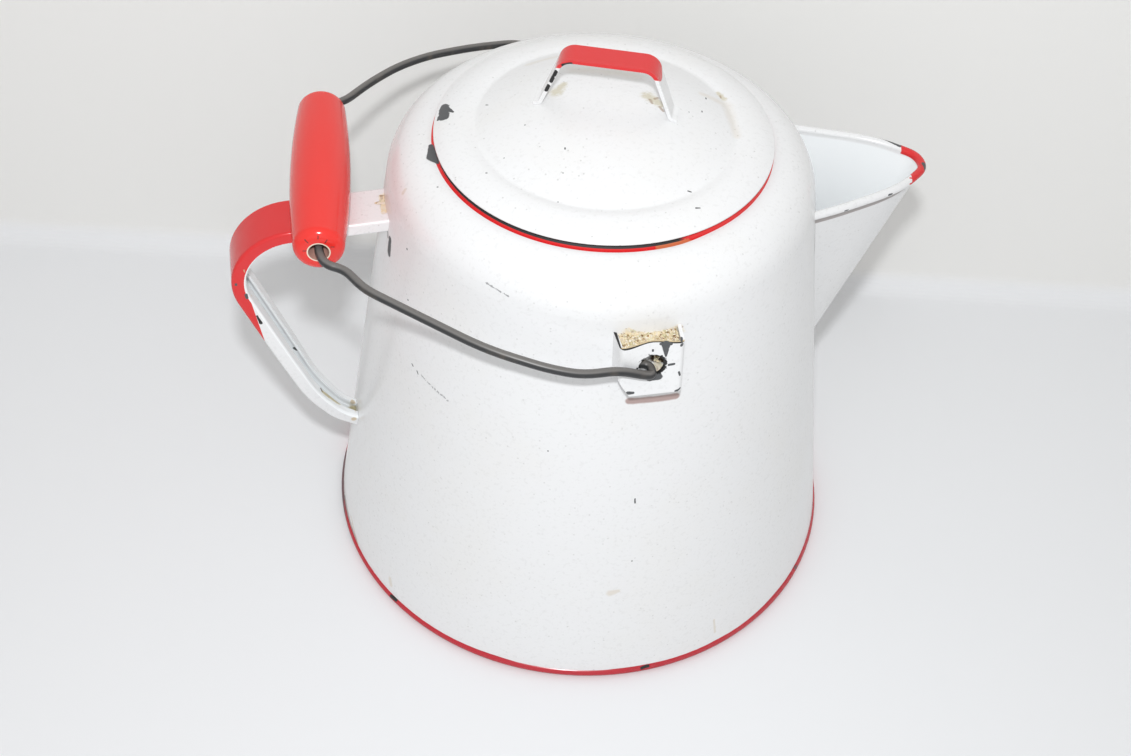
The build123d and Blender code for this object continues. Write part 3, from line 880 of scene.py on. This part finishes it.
def handle_material():
    """White strap, its inner faces painted lighter as painted light, red outside from under the grip to
    a point on each flange.
    """
    finish = enamel("handle enamel", "rear_handle", warmth=0.12)
    net = finish.net
    axes = net.axes(finish.place)
    from_middle = net.vector("SUBTRACT", finish.place, HANDLE_MIDDLE)
    outward = net.vector("DOT_PRODUCT", from_middle, finish.facing)
    lean = net.math("MULTIPLY", net.math("SUBTRACT", axes["Z"], HANDLE_BACK_HEIGHT), HANDLE_LEAN)
    back = net.math("SUBTRACT", HANDLE_BACK, lean)
    depth = net.math("SUBTRACT", axes["X"], back)
    end = net.math("MINIMUM", net.math("MAXIMUM", depth, 0.0), FLANGE_DEPTH)
    end = net.math("MULTIPLY", end, RED_POINT_SLOPE)
    level = net.math("SUBTRACT", net.math("SUBTRACT", axes["Z"], end), RED_BOTTOM)
    red = net.both(
        net.over(outward, *RED_FACING),
        net.over(level, 0.0, RED_BOTTOM_EDGE),
        net.under(axes["X"], RED_FRONT, RED_FRONT_EDGE),
    )
    # Painted light: the strap's inner faces are made lighter
    finish.lay(net.under(outward, *INSIDE_FACING), PAINTED_LIGHT_INSIDE_WHITE)
    finish.lay(red, RED)
    stains = HANDLE_EDGE_LINE + HANDLE_FOOT
    finish.mark(stains, TAN, roughness=0.5, ragged=0.8, grain=400.0, soft=0.3, strength=0.8)
    finish.mark(HANDLE_EDGE_CHIP, BLACK, roughness=0.5, ragged=0.8, grain=600.0)
    finish.mark(HANDLE_DIRT, OLIVE, roughness=0.7, ragged=1.6, grain=500.0, soft=0.5, strength=0.85)
    notch = finish.marks(HANDLE_NOTCH, ragged=1.2, grain=500.0, soft=0.3)
    crumbs = net.group(caked, Position=finish.place, Scale=NOTCH_CRUMBS)
    finish.lay(notch, crumbs, roughness=0.7, sunk=0.1)
    finish.mark(HANDLE_SPECKS, BARE_STEEL, roughness=0.6, ragged=0.8, grain=700.0)
    return finish.done()


def lid_material():
    """White, with a chipped rim, stains round the handle's feet, and a tan painted shadow under the
    handle's bar.
    """
    finish = enamel("lid enamel", "lid_shell", warmth=0.22, specks=0.4, roughness=0.3)
    # Soft tan stains, and the painted shadow under the handle's bar
    finish.mark(LID_STAINS_AND_HANDLE_SHADOW, TAN, ragged=1.2, grain=250.0, soft=0.95, strength=0.22)
    finish.mark(LID_STAINS, OLIVE, ragged=2.2, grain=900.0, soft=0.8, strength=0.55)
    finish.mark(LID_DARK_STAINS, RUST, ragged=1.6, grain=900.0, soft=0.6, strength=0.6)
    finish.mark(LID_SPECKS, BARE_STEEL, roughness=0.5, ragged=0.8, grain=900.0)
    finish.mark(LID_CHIPS, BARE_STEEL, roughness=0.5, sunk=0.12, ragged=0.8, grain=450.0)
    return finish.done()


# The red ends in a round lobe on each leg: higher at the strap's edges, by RED_LOBE times the
# square of the distance from its middle line
LID_TURN = radians(-19.7)
RED_LOBE = 90.0
LID_HANDLE_RED = 236.8 * MM
LID_HANDLE_RED_EDGE = 0.2 * MM
LID_HANDLE_FACING = (-0.6, 0.1)


def lid_handle_material():
    """Red on the top, white legs."""
    finish = enamel("lid handle enamel", "lid_handle", warmth=0.2)
    net = finish.net
    axes = net.axes(finish.place)
    across = net.vector("DOT_PRODUCT", finish.place, (-sin(LID_TURN), cos(LID_TURN), 0))
    lobe = net.math("MULTIPLY", net.math("MULTIPLY", across, across), RED_LOBE)
    level = net.math("SUBTRACT", axes["Z"], lobe)
    red = net.both(
        net.over(level, LID_HANDLE_RED, LID_HANDLE_RED_EDGE),
        net.over(net.axes(finish.facing)["Z"], *LID_HANDLE_FACING),
    )
    finish.lay(red, RED)
    finish.mark(LID_HANDLE_CHIPS, BLACK, roughness=0.5, sunk=0.1, ragged=0.8, grain=700.0)
    return finish.done()


GRIP_MIDDLE = Vector((-110.783, 7.6, 192.782)) * MM
GRIP_AXIS = Vector((0.087537, 0.996041, -0.015473))
GRIP_TIP = 44.6 * MM
GRIP_TIP_EDGE = 0.3 * MM
GRIP_RING_RADIUS = 4.4 * MM
GRIP_RING_EDGE = 0.12 * MM
GRIP_BORE_RADIUS = 3.95 * MM
GRIP_BORE_EDGE = 0.1 * MM


def grip_material():
    """Glossy red wood, bare in the bore, with a cream ring round it."""
    finish = Finish("grip paint", "bail_grip", GRIP_RED, roughness=0.16, waves=0.02, lumps=0.0)
    net = finish.net
    off = net.vector("SUBTRACT", finish.place, tuple(GRIP_MIDDLE))
    along = net.vector("DOT_PRODUCT", off, tuple(GRIP_AXIS))
    out = net.vector("LENGTH", net.vector("CROSS_PRODUCT", off, tuple(GRIP_AXIS)))
    tip = net.over(net.math("ABSOLUTE", along), GRIP_TIP, GRIP_TIP_EDGE)
    ring = net.both(tip, net.under(out, GRIP_RING_RADIUS, GRIP_RING_EDGE))
    finish.lay(ring, CREAM, roughness=0.5)
    finish.lay(net.under(out, GRIP_BORE_RADIUS, GRIP_BORE_EDGE), BARE_WOOD, roughness=0.8)
    finish.mark(GRIP_CRACKS, BLACK, roughness=0.6, ragged=0.8, grain=900.0, soft=0.3, strength=0.8)
    return finish.done()


WIRE_PATCHES = 90.0
WIRE_PATCH_LEVELS = (0.5, 0.75)
WIRE_HIGHLIGHT_LEVELS = (0.5, 0.95)
WIRE_HIGHLIGHT_STRENGTH = 0.8


def wire_material():
    """Dull dark steel wire, brown in places, with a painted highlight that makes it lighter on top."""
    finish = Finish("wire", "bail_wire", WIRE, roughness=0.3, waves=0.02, lumps=0.003)
    net = finish.net
    brown = net.step(net.noise(finish.place, WIRE_PATCHES, detail=4.0), *WIRE_PATCH_LEVELS)
    finish.lay(brown, WIRE_BROWN, roughness=0.5)
    # Painted highlight: faces that look up are made lighter
    dust = net.step(net.axes(finish.facing)["Z"], *WIRE_HIGHLIGHT_LEVELS)
    finish.lay(net.math("MULTIPLY", dust, WIRE_HIGHLIGHT_STRENGTH), WIRE_TOP_HIGHLIGHT, roughness=0.5)
    return finish.done(metallic=0.2)


# Old grounds caked in the ears

CRUST_LENGTH = 22.0 * MM
CRUST_DEPTH = 8.0 * MM
CRUST_THICKNESS = 2.6 * MM
CRUST_OUT = 90.1 * MM
CRUST_TOP = 183.3 * MM
CRUST_CRUMBS = 1300.0
CRUST_CELLS = (28, 12)
CRUST_LUMPS = 0.5 * MM
CRUST_SMOOTH_ANGLE = radians(50)
CRUMB_RADIUS = 0.52 * MM
CRUMB_LUMPS = 0.25
CRUMB_SCALES = (0.6, 1.3)
CRUMB_SEED = 4
BED_SEED = 2
SCATTER_SEED = 5
CRUST_MARGIN = 1.0 * MM
CRUST_SPREAD = 0.4
HOLE_CRUMBS = 26
HOLE_BOX = ((2.9 * MM, 88.2 * MM, 170.6 * MM), (4.6 * MM, 90.0 * MM, 174.4 * MM))
# Crumbs on the bed: how many, from where to where as shares of its half length, how high
HEAPS = ((90, -1.0, 1.0, 0.5 * MM), (16, -1.0, -0.5, 1.2 * MM), (16, 0.5, 1.0, 1.4 * MM))


def add_crumbs(rng, count, low, high, side):
    """Crumbs lying about in a box, each a copy of one lump."""
    bpy.ops.object.select_all(action="DESELECT")
    bpy.ops.mesh.primitive_ico_sphere_add(subdivisions=2, radius=CRUMB_RADIUS)
    crumb = bpy.context.object
    bpy.ops.object.mode_set(mode="EDIT")
    bpy.ops.transform.vertex_random(offset=CRUMB_LUMPS * CRUMB_RADIUS, seed=CRUMB_SEED)
    bpy.ops.object.mode_set(mode="OBJECT")
    crumbs = []
    for _ in range(count):
        copy = crumb.copy()
        copy.data = crumb.data.copy()
        place = [rng.uniform(bottom, top) for bottom, top in zip(low, high)]
        copy.location = (place[0], side * place[1], place[2])
        copy.rotation_euler = [rng.uniform(0, 2 * pi) for _ in range(3)]
        copy.scale = [rng.uniform(*CRUMB_SCALES) for _ in range(3)]
        bpy.context.scene.collection.objects.link(copy)
        crumbs.append(copy)
    bpy.data.objects.remove(crumb)
    return crumbs


def make_crust(side, node, material):
    """A lumpy bed between an ear and the wall, with crumbs on it and in the hole."""
    bpy.ops.object.select_all(action="DESELECT")
    bpy.ops.mesh.primitive_grid_add(
        x_subdivisions=CRUST_CELLS[0],
        y_subdivisions=CRUST_CELLS[1],
        size=1,
        location=(0, side * CRUST_OUT, CRUST_TOP - CRUST_THICKNESS),
    )
    bed = bpy.context.object
    bed.name = node.replace("_ear", "_crust")
    bpy.ops.object.mode_set(mode="EDIT")
    bpy.ops.transform.resize(value=(CRUST_LENGTH, CRUST_DEPTH, 1))
    bpy.ops.mesh.extrude_region_move(TRANSFORM_OT_translate={"value": (0, 0, CRUST_THICKNESS)})
    bpy.ops.transform.vertex_random(offset=CRUST_LUMPS, uniform=0.2, normal=0.7, seed=BED_SEED)
    bpy.ops.mesh.select_all(action="SELECT")
    bpy.ops.mesh.normals_make_consistent(inside=False)
    bpy.ops.object.mode_set(mode="OBJECT")
    rng = Random(SCATTER_SEED)
    inner = CRUST_LENGTH / 2 - CRUST_MARGIN
    near, far = CRUST_OUT - CRUST_SPREAD * CRUST_DEPTH, CRUST_OUT + CRUST_SPREAD * CRUST_DEPTH
    crumbs = []
    for count, start, end, rise in HEAPS:
        low = (start * inner, near, CRUST_TOP)
        high = (end * inner, far, CRUST_TOP + rise)
        crumbs += add_crumbs(rng, count, low, high, side)
    crumbs += add_crumbs(rng, HOLE_CRUMBS, *HOLE_BOX, side)
    bpy.ops.object.select_all(action="DESELECT")
    for piece in [*crumbs, bed]:
        piece.select_set(True)
    bpy.context.view_layer.objects.active = bed
    bpy.ops.object.join()
    bpy.ops.object.transform_apply(location=True, rotation=True, scale=True)
    bpy.ops.object.shade_smooth_by_angle(angle=CRUST_SMOOTH_ANGLE)
    bed.data.materials.clear()
    bed.data.materials.append(material)
    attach(bed, "pot")


def crust_material():
    """Dry sandy grounds."""
    finish = Finish("caked grounds", None, None, roughness=0.9, waves=0.0, lumps=0.02)
    finish.colour = finish.net.group(caked, Position=finish.place, Scale=CRUST_CRUMBS)
    return finish.done()


grounds = crust_material()
make_crust(-1, "right_ear", grounds)
make_crust(1, "left_ear", grounds)

looks = {
    "body_shell": body_material(),
    "bottom_pan": pan_material(),
    "spout": spout_material(),
    "right_ear": ear_material("right_ear"),
    "left_ear": ear_material("left_ear"),
    "rear_handle": handle_material(),
    "lid_shell": lid_material(),
    "lid_handle": lid_handle_material(),
    "lid_skirt": enamel("skirt enamel", "lid_skirt").done(),
    "bail_grip": grip_material(),
    "bail_wire": wire_material(),
}
for name, node in nodes.items():
    node.material_slots[0].material = looks[name]
